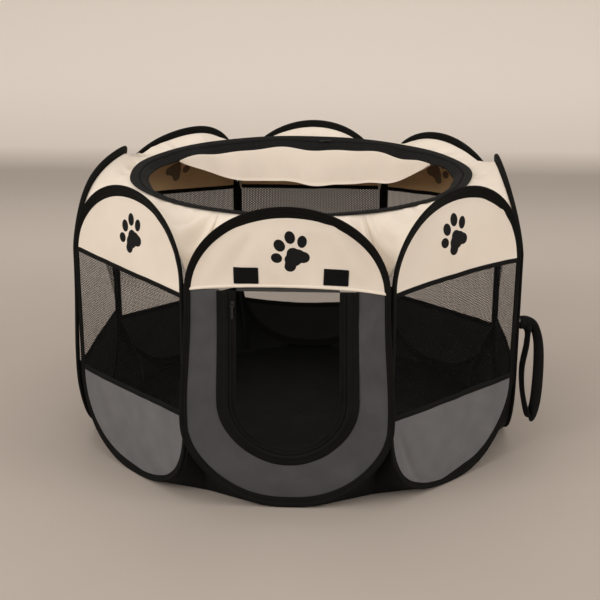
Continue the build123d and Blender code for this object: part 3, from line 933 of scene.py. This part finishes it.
def sweep_along(name, path, profile, material, slot, depth=0.0):
    """A profile of (sideways, outward) points swept along a path in the front panel's plane."""
    tangent = unit(np.gradient(path, axis=0))
    side = np.column_stack([tangent[:, 1], -tangent[:, 0]])
    length = distance_along(path)
    base = cloth_depth(path[:, 0], path[:, 1], 0) + depth
    rings, places = [], []
    for a, b in profile:
        a = np.broadcast_to(a, length.shape)
        rings.append(np.column_stack([path + side * a[:, None], base + b]))
        places.append(np.column_stack([length, a]))
    return fit(sweep_piece(name, rings, material, False, places, 0), slot, "front")


def circle(radius, count):
    """Points round a circle about the origin."""
    return [(radius * cos(t), radius * sin(t)) for t in np.linspace(0, 2 * pi, count + 1)[:-1]]


def resample(path, step):
    """Points at an even step along a path."""
    length = distance_along(path)
    places = np.linspace(0, length[-1], int(length[-1] / step))
    return np.column_stack([np.interp(places, length, path[:, k]) for k in range(path.shape[1])])


def make_border():
    """Black border of the doorway: folded tape, a zip with its coil, and the piped inner edge."""
    top = ARCH_Z + 0.0016
    middle = (BORDER_HALF + DOOR_HALF) / 2
    half = (BORDER_HALF - DOOR_HALF) / 2
    band = [
        (-half, 0.0004), (-half + 0.002, 0.0014), (-0.004, 0.0012), (0.003, 0.0022), (half - 0.003, 0.0017),
        (half, 0.0004), (half, -0.0012), (0.0, -0.0016), (-half, -0.0012),
    ]
    piece = sweep_along("front_door_border", door_path(middle, top), band, TAPE, "tape")
    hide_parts("door_border")
    flap_edge = [
        (-0.0045, 0.0), (-0.0040, 0.0018), (0.0, 0.0026), (0.0040, 0.0018), (0.0045, 0.0), (0.0, -0.001),
    ]
    sweep_along("front_door_zip_cover", door_path(DOOR_HALF + 0.018, top), flap_edge, TAPE, "tape", 0.0010)
    sweep_along("front_door_piping", door_path(DOOR_HALF + 0.0012, top), circle(0.0022, 8), TAPE, "tape")
    fine = resample(door_path(DOOR_HALF + 0.009, top), 0.0007)
    swell = 0.0012 + 0.00035 * np.cos(np.arange(len(fine)) * pi)
    sweep_along("front_door_zip_coil", fine, circle(swell, 6), TEETH, "zip_metal", 0.0020)


def make_hem():
    """Folded hem along the lower edge of the front panel's cream cloth."""
    s = np.linspace(-INNER_HALF - 0.001, INNER_HALF + 0.001, 91)
    piece = level_tape("front_cream_hem", s, hem_edge(s) + 0.0022, 0.0004, 0.0052, 0.0022, CREAM_HEM, 0)
    return fit(piece, "cream_cloth", "front")


def make_patch(number, s, z, lean):
    """A square of hook-and-loop tape sewn to the front: soft pile inside a stitched edge."""
    u, v = np.meshgrid(np.linspace(-1, 1, 31), np.linspace(-1, 1, 23))
    along, up = u * PATCH_WIDE / 2, v * PATCH_TALL / 2
    edge = np.minimum((1 - np.abs(u)) * PATCH_WIDE, (1 - np.abs(v)) * PATCH_TALL) / 2
    raised = 0.0010 * np.clip(edge / 0.002, 0, 1) + 0.0006 * np.clip((edge - 0.002) / 0.002, 0, 1)
    raised += ripples(along * 2, up * 2, 90 + number, 0.004, 0.00008)
    x = along * cos(lean) - up * sin(lean) + s
    y = along * sin(lean) + up * cos(lean) + z
    grid = np.stack([x, y, cloth_depth(x, y, 0) + 0.0008 + raised], axis=2)
    uv = np.stack([along, up], axis=2)
    piece = sheet_piece(f"front_hook_patch_{number}", grid, [PILE], 0.0014, uv, 0)
    fit(piece, "hook_and_loop", "front", *(["door_patches"] if number == 1 else []))


def make_front_panel():
    """Cream cloth with its hem and patches, and the zipped doorway."""
    trim = [*make_paw("front", 0), make_hem()]
    make_cloth(0, hem_edge, arch_edge, "cream_cloth", [CREAM, CREAM_INSIDE_SHADED], "cream_cloth",
               "upper_cloth_front", extra=trim)
    make_surround()
    make_border()
    for number, (s, z, lean) in enumerate(PATCHES, 1):
        make_patch(number, s, z, radians(lean))


def make_flaps():
    """The door's flap, folded up behind the cream cloth: four lengths of charcoal cloth."""
    first_low, first_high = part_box("door_flap_1")
    half = first_high.x
    hinge = first_low.z - 0.001
    length = first_high.z - first_low.z + 0.002
    for order in range(4):
        node_name = f"door_flap_{order + 1}"
        low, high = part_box(node_name)
        u, v = np.meshgrid(np.linspace(-1, 1, 41), np.linspace(0, 1, 21))
        z = low.z + (high.z - low.z) * v
        wide = np.full_like(z, half)
        if order == 2:
            past = np.clip(z - (hinge + 2 * length - half), 0, None)
            wide = half * np.sqrt(np.clip(1 - (past / half) ** 2, 0, 1))
        if order == 3:
            wide = half * np.sqrt(np.clip(1 - ((hinge + half - z) / half) ** 2, 0.0004, 1))
        x = u * wide
        y = (low.y + high.y) / 2 + ripples(x, z, 50 + order, 0.05, 0.00012)
        sides = [CHARCOAL, LINING] if order % 2 == 0 else [LINING, CHARCOAL]
        grid = np.stack([x, y, z], axis=2)
        piece = sheet_piece(f"{node_name}_cloth", grid, sides, uv=grid[:, :, ::2])
        fit(piece, "charcoal_cloth", f"flap_{order + 1}", node_name)


# ---------------------------------------------------------------- pieces between the panels


def make_seams():
    """Black strips that join neighbouring bindings from the foot of the windows to the arches."""
    joined = {frozenset((joint["parent"], joint["child"])) for joint in frame["joints"]}
    z = np.linspace(CORNER_UP - 0.012, ARCH_Z + 0.012, 41)
    ends = np.minimum(np.arange(len(z)), np.arange(len(z))[::-1])
    narrow = np.clip(0.55 + ends * 0.15, 0, 1)
    radius = APOTHEM / cos(HALF_TURN)
    for index in range(SIDES):
        before, after = NAMES[index], NAMES[(index + 1) % SIDES]
        turn = -pi / 2 + HALF_TURN * (2 * index + 1)
        out = np.array([cos(turn), sin(turn), 0.0])
        along = np.array([-sin(turn), cos(turn), 0.0])
        reach = radius - 0.0032 + 0.0003 * np.sin(z * 90 + index)
        middle = out * reach[:, None] + np.column_stack([z * 0, z * 0, z])
        piece = strip_piece(f"seam_{before}_to_{after}", middle, along * narrow[:, None],
                            np.tile(out, (len(z), 1)), 0.012, 0.0014, BINDING)
        if frozenset((before, after)) in joined:
            centre = out * radius
            centre[2] = 0.3
            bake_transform(piece)
        else:
            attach(piece, before)


def floor_edges():
    """Along, inward and up, the floor cloth's upper edge at a hoop and its edge on the ground."""
    slope = tan(HALF_TURN)
    steep = slope * 1.25
    share = np.sin(np.linspace(-pi / 2, pi / 2, 65))
    s_top = CORNER_S * share
    reach = np.clip((np.abs(s_top) - FOOT_HALF) / CORNER_ACROSS, 0, 1)
    top = CORNER_UP - CORNER_UP * np.sqrt(1 - reach**2) + 0.0015
    s_low = (CORNER_S + CUT_FROM * slope * steep) / (1 + slope * steep) * share
    out_low = -0.0012 - np.clip(np.abs(s_low) - CUT_FROM, 0, None) * steep
    return share, s_top, top, s_low, out_low


def make_floor():
    """Floor cloth in eight sectors, each with its share of the gores between the hoops' lower corners.

    On the ground the cloth cuts the octagon's corners off; from there it rises to the hoops.
    """
    share, s_top, top, s_low, out_low = floor_edges()
    made = []
    for index in range(SIDES):
        rows = []
        start = top - squarer(index, s_top, top)
        for t in np.linspace(0, 1, 15):
            bow = -0.014 * sin(pi * t) * top / CORNER_UP
            s = s_top + (s_low - s_top) * t + bow * tan(HALF_TURN) * share
            z = start * (1 - t) ** 1.25 + FLOOR_LIFT
            rows.append(np.column_stack([s, z, -0.0012 + (out_low + 0.0012) * t + bow]))
        for t in np.linspace(0, 1, 37)[1:]:
            near = 1 - t * 0.9996
            out = (APOTHEM + out_low) * near - APOTHEM
            rows.append(np.column_stack([s_low * near, np.full_like(s_low, FLOOR_LIFT), out]))
        grid = np.stack(rows)[::-1]
        place = to_pen(grid.reshape(-1, 3), index)
        x, y = place[:, 0], place[:, 1]
        rise = np.abs(ripples(x, y, 401, 0.33, 0.0022) + ripples(x, y, 402, 0.12, 0.0009))
        edge = np.clip(1 - np.hypot(x, y) / 0.40, 0, 1)
        middle = np.clip(np.hypot(x, y) / 0.06, 0, 1)
        grid[:, :, 1] += (rise * np.minimum(1, edge * 4) * middle).reshape(grid.shape[:2])
        uv = np.stack([x.reshape(grid.shape[:2]), (y - place[:, 2]).reshape(grid.shape[:2])], axis=2)
        piece = sheet_piece(f"floor_sector_{NAMES[index]}", grid, [FLOOR_CLOTH], 0.0012, uv)
        piece.matrix_world = panel_matrix(index)
        made.append((piece, index))
    crumple_all(made, "floor_mat")


def rim_line(turn):
    """Outer radius, outer height, inner radius and inner height of the rim at angles from +X."""
    rear = 0.5 + 0.5 * np.sin(turn)
    outer_z = RIM_Z - 0.004 + 0.016 * rear + 0.005 * np.clip(np.cos(turn - 1.95), 0, 1) ** 2
    outer_z = outer_z - 0.006 * (1 - rear) ** 3
    droop = 0.009 + 0.017 * rear**2 + (0.0035 * np.sin(9 * turn + 1.0) + 0.002 * np.sin(17 * turn)) * rear
    outer_r = RIM_R - 0.001 + 0.0012 * np.sin(11 * turn + 0.6)
    inner_r = RIM_INNER + 0.0018 * np.sin(7 * turn) + 0.001 * np.sin(19 * turn + 2)
    return outer_r, outer_z, inner_r, outer_z - droop


def on_rim(r, turn, z):
    """Points at radius r and angle turn about the pen's axis."""
    return np.column_stack([r * np.cos(turn), r * np.sin(turn), z + 0 * turn])


def gore_creases(index):
    """A roof gore's random creases: place along the arch, half width and height."""
    rng = np.random.RandomState(500 + index)
    return [(rng.uniform(-0.95, 0.95), rng.uniform(0.025, 0.08), rng.uniform(-1, 1)) for _ in range(18)]


def gore_folds(creases, c, t):
    """Height of the roof cloth's creases at a share t of its way from the arch to the rim."""
    fold = 0
    for place, width, size in creases:
        drift = place * (1 + 0.25 * (t - 0.5))
        fold = fold + size * np.exp(-(((c - drift) / width) ** 2))
    return fold * (0.0084 + 0.005 * np.abs(c) ** 3) * sin(pi * t) * (1 - np.abs(c) ** 12)


def gore_ends(index, c, s_out, azimuth):
    """Lines along a roof gore's edges: behind the arch's binding and under the rim's tape."""
    outer_r, outer_z = rim_line(azimuth)[:2]
    arch = ARCH_Z + (CROWN - BINDING_END + 0.004) * np.cos(c * pi / 2)
    sunk = 0.0042 + 0.032 * np.abs(c) ** 10
    local = np.column_stack([s_out * (1 - sunk / APOTHEM * np.abs(c) ** 8), arch, -sunk])
    held = np.abs(c)[:, None] ** 6
    local = settle(index, local) * (1 - held) + local * held
    return to_pen(local, index), on_rim(outer_r - 0.006, azimuth, outer_z - 0.0022)


def make_canopy():
    """Roof cloth in eight gores: from each arch it dips and then rises or falls to the round rim."""
    made = []
    c = np.linspace(-1, 1, 73)
    s = (INNER_HALF + 0.002) * np.sin(c * pi / 2)
    s_out = s * (CORNER_S / s[-1]) ** (np.abs(c) ** 6)
    valley = np.abs(c) ** 2.5
    for index in range(SIDES):
        azimuth = -pi / 2 + 2 * HALF_TURN * index + np.arctan2(s_out, APOTHEM)
        start, end = gore_ends(index, c, s_out, azimuth)
        creases = gore_creases(index)
        swell = np.clip(-c, 0, 1) ** 1.6 * BULGES[index - 1] + np.clip(c, 0, 1) ** 1.6 * BULGES[index]
        rows = []
        for t in np.linspace(0, 1, 33):
            line = start + (end - start) * t
            bow = sin(pi * t)
            sag = -0.010 * bow * (1 - valley) - 0.004 * bow * valley
            gather = 0.0016 * np.sin(azimuth * 64 + 2 * np.sin(azimuth * 9)) * t**2 * (1 - t) * 5
            line[:, 2] += sag + gore_folds(creases, c, t) + gather + swell * sin(pi * t**0.6)
            rows.append(line)
        grid = np.stack(rows[::-1])
        up = np.linspace(0, 0.16, len(rows))[:, None] + 0 * grid[:, :, 2]
        uv = np.stack([np.broadcast_to(s_out, grid.shape[:2]), up], axis=2)
        piece = sheet_piece(f"canopy_gore_{NAMES[index]}", grid[:, ::-1], [CREAM, CREAM_INSIDE_SHADED], 0.0009,
                            uv[:, ::-1])
        made.append((piece, index))
    crumple_all(made, "canopy")


def make_rim_tape(index, turn):
    """One panel's length of the top opening's zip tape, with folded edges."""
    shares = [0.0, 0.06, 0.30, 0.34, 0.40, 0.46, 0.52, 0.56, 0.62, 0.68, 0.94, 1.0]
    rises = [0.0, 0.0012, 0.0010, 0.0022, 0.0024, 0.0010, 0.0009, 0.0024, 0.0022, 0.0010, 0.0013, 0.0]
    outer_r, outer_z, inner_r, inner_z = rim_line(turn)
    rows = list(zip(shares, rises)) + [(share, -0.0010) for share in shares[-2:0:-1]]
    rings, places = [], []
    for share, rise in rows:
        r = outer_r + (inner_r - outer_r) * share
        curl = 0.002 * sin(pi * share)
        rings.append(on_rim(r, turn, outer_z + (inner_z - outer_z) * share**1.15 + curl + rise))
        places.append(np.column_stack([turn * RIM_R, turn * 0 + (share - 0.5) * 0.04]))
    piece = sweep_piece(f"rim_tape_{NAMES[index]}", rings, RIM_TAPE, False, places)
    return piece


def make_rim_coil(index, turn):
    """One panel's length of the top zip's coil."""
    outer_r, outer_z, inner_r, inner_z = rim_line(turn)
    r = outer_r + (inner_r - outer_r) * COIL_SHARE
    z = outer_z + (inner_z - outer_z) * COIL_SHARE**1.15 + 0.0032
    swell = 0.0013 + 0.0004 * np.cos(np.arange(len(turn)) * pi)
    rings = [on_rim(r + across, turn, z + up) for across, up in circle(swell, 6)]
    piece = sweep_piece(f"rim_coil_{NAMES[index]}", rings, TEETH, False,
                        [np.column_stack([turn * r, turn * 0])] * len(rings))
    return piece


def make_rim():
    """Black zip tape round the top opening in eight lengths, each with its coil."""
    made = []
    for index in range(SIDES):
        middle = -pi / 2 + 2 * HALF_TURN * index
        low, high = middle - HALF_TURN, middle + HALF_TURN
        made.append((make_rim_tape(index, np.linspace(low, high, 61)), index))
        made.append((make_rim_coil(index, np.arange(low, high, 0.0022)), index))
    crumple_all(made, "rim_tape")


def make_cover():
    """The unzipped cover of the top opening, hanging in soft folds inside the rear of the rim."""
    half_turn = asin(COVER_HALF / (RIM_INNER - 0.0025))
    u = np.linspace(-1, 1, 121)
    turn = pi / 2 - u * half_turn
    inner_r, inner_z = rim_line(turn)[2:]
    drop = COVER_DROP * (0.72 + 0.06 * u) * (1 - np.abs(u) ** 2.6) ** 0.85 + 0.005
    rows = []
    for t in np.linspace(0, 1, 41):
        folds = 0.0035 * np.sin(u * 8 + 0.6 + 0.5 * t) + 0.0018 * np.sin(u * 21 + 1.5 - t)
        folds = folds + 0.0006 * np.sin(u * 47 + t)
        curl = 0.006 * np.clip((t - 0.93) / 0.07, 0, 1) ** 2
        r = inner_r - 0.0025 - (0.046 + folds) * t**0.9 * (1 - np.abs(u) ** 3) - curl
        rows.append(on_rim(r, turn, inner_z + 0.0015 - drop * t**1.1 + 0.0012 * np.sin(u * 19 + 2) * t))
    grid = np.stack(rows[::-1])
    uv = np.stack([np.broadcast_to(u * 0.35, grid.shape[:2]), grid[:, :, 2]], axis=2)
    normals = grid_normals(grid)
    middle = len(u) // 2
    cut = round(middle * HALF_TURN / half_turn)  # the cover goes with three panels, so it is cut between them
    cuts = [("back_right", middle + cut, len(u)), ("back", middle - cut, middle + cut + 1),
            ("back_left", 0, middle - cut + 1)]
    for name, first, last in cuts:
        piece = sheet_piece(f"top_cover_{name}", grid[:, first:last], [COVER_CLOTH_LIT], 0.0010,
                            uv[:, first:last])
        share = normals[:, first:last].reshape(-1, 3)  # shaded as one cloth across the cuts
        piece.data.normals_split_custom_set_from_vertices(np.concatenate([share, -share]))
        if name == "back":
            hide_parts("top_cover")
        crumple(piece, NAMES.index(name))


# ---------------------------------------------------------------- handle and metal


def smooth_line(knots, count):
    """A Catmull-Rom curve through knots, with count points on each stretch."""
    knots = np.array(knots, float)
    ends = np.vstack([2 * knots[0] - knots[1], knots, 2 * knots[-1] - knots[-2]])
    line = []
    for k in range(1, len(ends) - 2):
        a, b, c, d = ends[k - 1 : k + 3]
        bend = 2 * a - 5 * b + 4 * c - d
        turn = 3 * b - a - 3 * c + d
        line += [0.5 * (2 * b + (c - a) * t + bend * t**2 + turn * t**3)
                 for t in np.linspace(0, 1, count, endpoint=False)]
    return np.array([*line, ends[-2]])


def make_handle():
    """Webbing loop sewn to the right panel: it leaves on edge, twists and hangs."""
    low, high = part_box("handle_strap")
    x0, y0 = low.x + 0.0012, (low.y + high.y) / 2 - 0.004
    top, foot = high.z - 0.0125, low.z - 0.002
    # Outward from the panel, along it and up, then the direction across the webbing
    down = [
        (0, 0, -0.001, 0, 0, 1), (0.014, -0.002, 0, 0, -0.1, 1), (0.031, -0.004, -0.009, 0.35, -0.5, 0.8),
        (0.043, -0.006, -0.044, 0.7, -0.65, 0.2), (0.0465, -0.008, -0.100, 0.80, -0.6, 0),
        (0.0445, -0.009, -0.165, 0.80, -0.6, 0),
    ]
    round_foot = [
        (0.038, -0.009, 0.012, 0.7, -0.7, 0), (0.031, -0.008, 0.002, 0.5, -0.85, 0),
        (0.022, -0.008, 0.024, 0.4, -0.92, 0), (0.0120, -0.006, 0.068, 0.3, -0.95, 0),
        (0.0095, -0.004, 0.115, 0.3, -0.93, 0.1),
    ]
    back_up = [(0.0175, -0.001, -0.050, 0.3, -0.8, 0.4), (0.017, 0.002, -0.016, 0.1, -0.3, 1),
               (0, 0.0025, -0.003, 0, 0, 1)]
    knots = [(x, y, top + z, *across) for x, y, z, *across in down]
    knots += [(x, y, foot + z, *across) for x, y, z, *across in round_foot]
    knots += [(x, y, top + z, *across) for x, y, z, *across in back_up]
    line = smooth_line([(x0 + x * 0.90, y0 + y, z) for x, y, z, *_ in knots], 12)
    across = smooth_line([knot[3:] for knot in knots], 12)
    tangent = unit(np.gradient(line, axis=0))
    across = unit(across - tangent * (across * tangent).sum(axis=1)[:, None])
    piece = strip_piece("handle_webbing", line, across, np.cross(tangent, across), 0.025, 0.0021, WEBBING)
    fit(piece, "webbing", "handle", "handle_strap")


def make_top_slider():
    """Slider and pull of the rim's zip, sitting on the coil."""
    outer_r, outer_z, inner_r, inner_z = rim_line(RIM_SLIDER_TURN)
    r = float(outer_r + (inner_r - outer_r) * COIL_SHARE)
    z = float(outer_z + (inner_z - outer_z) * COIL_SHARE) + 0.0035
    out = Vector((cos(RIM_SLIDER_TURN), sin(RIM_SLIDER_TURN), 0))
    up = Vector((0, 0, 1))
    matrix = Matrix((up.cross(out), -out, up)).transposed().to_4x4()
    matrix.translation = out * r + up * z
    shell = bmesh.new()
    for centre, size, round_off in SLIDER_PARTS:
        part = bmesh.ops.create_cube(shell, size=1.0)["verts"]
        bmesh.ops.scale(shell, vec=size, verts=part)
        bmesh.ops.translate(shell, vec=centre, verts=part)
        edges = {edge for vert in part for edge in vert.link_edges}
        bmesh.ops.bevel(shell, geom=list(edges), offset=round_off, segments=3, profile=0.6, affect="EDGES")
    mesh = bpy.data.meshes.new("top_zip_slider")
    shell.to_mesh(mesh)
    shell.free()
    mesh.polygons.foreach_set("use_smooth", [True] * len(mesh.polygons))
    mesh.materials.append(LACQUER)
    piece = link("top_zip_slider", mesh)
    piece.matrix_world = matrix
    fit(piece, "zip_metal", "top_slider", "top_slider")
    flatten(piece, NAMES.index("back"))


def paint(piece, material):
    """Puts one material on a CAD node."""
    if piece.data.materials:
        for slot in piece.material_slots:
            slot.material = material
    else:
        piece.data.materials.append(material)


def dress_metal():
    """The sprung hoops, and lacquer on the door's slider and pull, whose CAD shapes stay."""
    for index, name in enumerate(NAMES):
        make_wire(index, name)
    paint(frame["nodes"]["door_slider"], LACQUER)
    paint(frame["nodes"]["door_pull"], LACQUER)


# ---------------------------------------------------------------- camera, light and floor


def make_camera():
    """Camera a little above the pen, looking down into it."""
    data = bpy.data.cameras.new("camera")
    data.lens = CAMERA_LENS
    data.sensor_width = CAMERA_SENSOR
    data.clip_end = 60
    camera = link("camera", data)
    camera.location = CAMERA_PLACE
    camera.rotation_euler = (radians(90 - CAMERA_DOWN), 0, radians(CAMERA_LEFT))
    bpy.context.scene.camera = camera


def make_light():
    """Soft light from above and from both sides."""
    scene = bpy.context.scene
    scene.view_settings.view_transform = "Standard"
    scene.view_settings.look = "None"
    world = bpy.data.worlds.new("studio")
    world.use_nodes = True
    background = world.node_tree.nodes["Background"]
    background.inputs["Color"].default_value = SKY
    background.inputs["Strength"].default_value = SKY_POWER
    scene.world = world
    for name, place, size, power in LAMPS:
        lamp = bpy.data.lights.new(name, "AREA")
        lamp.size = size
        lamp.energy = power
        lamp.color = LAMP_COLOUR
        holder = link(name, lamp)
        holder.location = place
        holder.rotation_euler = (Vector(LAMP_TARGET) - Vector(place)).to_track_quat("-Z", "Y").to_euler()


def make_backdrop():
    """Plain pale floor that runs up behind."""
    verts = [(x, y, z - 0.0006) for y, z in BACKDROP for x in (-BACKDROP_HALF, BACKDROP_HALF)]
    faces = [(2 * k, 2 * k + 1, 2 * k + 3, 2 * k + 2) for k in range(len(BACKDROP) - 1)]
    backdrop = new_piece("studio_floor", verts, faces, [FLOOR], closed=False)
    smooth = backdrop.modifiers.new("smooth", "SUBSURF")
    smooth.levels = 2
    smooth.render_levels = 2


make_camera()
make_light()
make_backdrop()
for order, panel in enumerate(NAMES):
    make_binding(order, panel)
    if order:
        make_window_panel(order, panel)
    if panel in ("left", "right"):
        make_net_fold(panel, order)
make_front_panel()
make_flaps()
make_seams()
make_floor()
make_canopy()
make_rim()
make_cover()
make_handle()
make_top_slider()
dress_metal()
